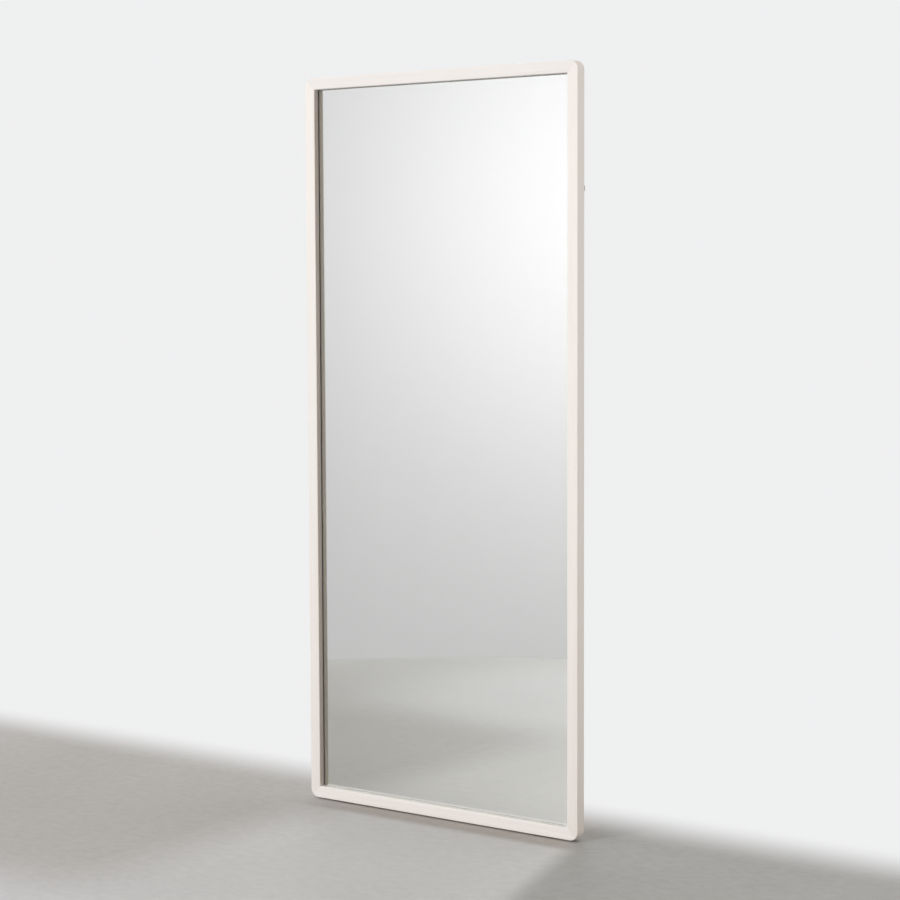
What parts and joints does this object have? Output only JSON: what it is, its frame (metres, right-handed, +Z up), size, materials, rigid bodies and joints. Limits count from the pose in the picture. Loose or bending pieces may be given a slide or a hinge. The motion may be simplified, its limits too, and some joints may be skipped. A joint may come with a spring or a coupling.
{
  "type": "leaning floor mirror",
  "caption": "Full-length floor mirror in a slim whitewashed timber frame with rounded corners, for leaning against a wall.",
  "frame": {"origin": "floor level, under the middle of the overall box: the undersides of the foot pads are at z = 0, midway between the front face and the ends of the wall bumpers", "axes": "+X to the viewer's right, +Y from the viewer into the mirror towards the wall, +Z up along the mirror's height"},
  "size_m": [0.8, 0.036, 1.803],
  "materials": {
    "whitewashed_wood": "matte",
    "beech": "matte",
    "silvered_glass": "polished",
    "foam_tape": "matte",
    "corrugated_card": "matte",
    "fibreboard": "matte",
    "plated_steel": "satin",
    "black_rubber": "matte"
  },
  "bodies": {
    "frame": {"frame_stile_left": "whitewashed_wood", "frame_stile_right": "whitewashed_wood", "frame_rail_top": "whitewashed_wood", "frame_rail_bottom": "whitewashed_wood", "mitre_tenon_bottom_left": "beech", "mitre_tenon_bottom_right": "beech", "mitre_tenon_top_left": "beech", "mitre_tenon_top_right": "beech", "mirror_glass": "silvered_glass", "glazing_tape_left": "foam_tape", "glazing_tape_right": "foam_tape", "glazing_tape_top": "foam_tape", "glazing_tape_bottom": "foam_tape", "glass_setting_block_left": "black_rubber", "glass_setting_block_right": "black_rubber", "filler_sheet": "corrugated_card", "backing_board": "fibreboard", "button_screw_left_1": "plated_steel", "button_screw_left_2": "plated_steel", "button_screw_left_3": "plated_steel", "button_screw_left_4": "plated_steel", "button_screw_right_1": "plated_steel", "button_screw_right_2": "plated_steel", "button_screw_right_3": "plated_steel", "button_screw_right_4": "plated_steel", "button_screw_bottom_1": "plated_steel", "button_screw_bottom_2": "plated_steel", "button_screw_top_1": "plated_steel", "button_screw_top_2": "plated_steel", "d_ring_strap_left": "plated_steel", "d_ring_strap_right": "plated_steel", "strap_screw_left_1": "plated_steel", "strap_screw_left_2": "plated_steel", "strap_screw_right_1": "plated_steel", "strap_screw_right_2": "plated_steel", "wall_bumper_bottom_left": "black_rubber", "wall_bumper_bottom_right": "black_rubber", "wall_bumper_top_left": "black_rubber", "wall_bumper_top_right": "black_rubber", "foot_pad_left": "black_rubber", "foot_pad_right": "black_rubber"},
    "turn_button_left_1": {"turn_button_left_1": "plated_steel"},
    "turn_button_left_2": {"turn_button_left_2": "plated_steel"},
    "turn_button_left_3": {"turn_button_left_3": "plated_steel"},
    "turn_button_left_4": {"turn_button_left_4": "plated_steel"},
    "turn_button_right_1": {"turn_button_right_1": "plated_steel"},
    "turn_button_right_2": {"turn_button_right_2": "plated_steel"},
    "turn_button_right_3": {"turn_button_right_3": "plated_steel"},
    "turn_button_right_4": {"turn_button_right_4": "plated_steel"},
    "turn_button_bottom_1": {"turn_button_bottom_1": "plated_steel"},
    "turn_button_bottom_2": {"turn_button_bottom_2": "plated_steel"},
    "turn_button_top_1": {"turn_button_top_1": "plated_steel"},
    "turn_button_top_2": {"turn_button_top_2": "plated_steel"},
    "d_ring_left": {"d_ring_left": "plated_steel"},
    "d_ring_right": {"d_ring_right": "plated_steel"}
  },
  "joints": [
    {"name": "turn_button_left_1_turn", "type": "hinge", "parent": "frame", "child": "turn_button_left_1", "pos_m": [-0.3905, 0.01295, 0.153], "axis": [0, 1, 0], "continuous": true},
    {"name": "turn_button_left_2_turn", "type": "hinge", "parent": "frame", "child": "turn_button_left_2", "pos_m": [-0.3905, 0.01295, 0.653], "axis": [0, 1, 0], "continuous": true},
    {"name": "turn_button_left_3_turn", "type": "hinge", "parent": "frame", "child": "turn_button_left_3", "pos_m": [-0.3905, 0.01295, 1.153], "axis": [0, 1, 0], "continuous": true},
    {"name": "turn_button_left_4_turn", "type": "hinge", "parent": "frame", "child": "turn_button_left_4", "pos_m": [-0.3905, 0.01295, 1.653], "axis": [0, 1, 0], "continuous": true},
    {"name": "turn_button_right_1_turn", "type": "hinge", "parent": "frame", "child": "turn_button_right_1", "pos_m": [0.3905, 0.01295, 0.153], "axis": [0, 1, 0], "continuous": true},
    {"name": "turn_button_right_2_turn", "type": "hinge", "parent": "frame", "child": "turn_button_right_2", "pos_m": [0.3905, 0.01295, 0.653], "axis": [0, 1, 0], "continuous": true},
    {"name": "turn_button_right_3_turn", "type": "hinge", "parent": "frame", "child": "turn_button_right_3", "pos_m": [0.3905, 0.01295, 1.153], "axis": [0, 1, 0], "continuous": true},
    {"name": "turn_button_right_4_turn", "type": "hinge", "parent": "frame", "child": "turn_button_right_4", "pos_m": [0.3905, 0.01295, 1.653], "axis": [0, 1, 0], "continuous": true},
    {"name": "turn_button_bottom_1_turn", "type": "hinge", "parent": "frame", "child": "turn_button_bottom_1", "pos_m": [-0.19, 0.01295, 0.0125], "axis": [0, 1, 0], "continuous": true},
    {"name": "turn_button_bottom_2_turn", "type": "hinge", "parent": "frame", "child": "turn_button_bottom_2", "pos_m": [0.19, 0.01295, 0.0125], "axis": [0, 1, 0], "continuous": true},
    {"name": "turn_button_top_1_turn", "type": "hinge", "parent": "frame", "child": "turn_button_top_1", "pos_m": [-0.19, 0.01295, 1.7935], "axis": [0, 1, 0], "continuous": true},
    {"name": "turn_button_top_2_turn", "type": "hinge", "parent": "frame", "child": "turn_button_top_2", "pos_m": [0.19, 0.01295, 1.7935], "axis": [0, 1, 0], "continuous": true},
    {"name": "d_ring_left_swing", "type": "hinge", "parent": "frame", "child": "d_ring_left", "pos_m": [-0.3905, 0.01465, 1.52], "axis": [1, 0, 0], "range_deg": [0, 180]},
    {"name": "d_ring_right_swing", "type": "hinge", "parent": "frame", "child": "d_ring_right", "pos_m": [0.3905, 0.01465, 1.52], "axis": [1, 0, 0], "range_deg": [0, 180]}
  ]
}
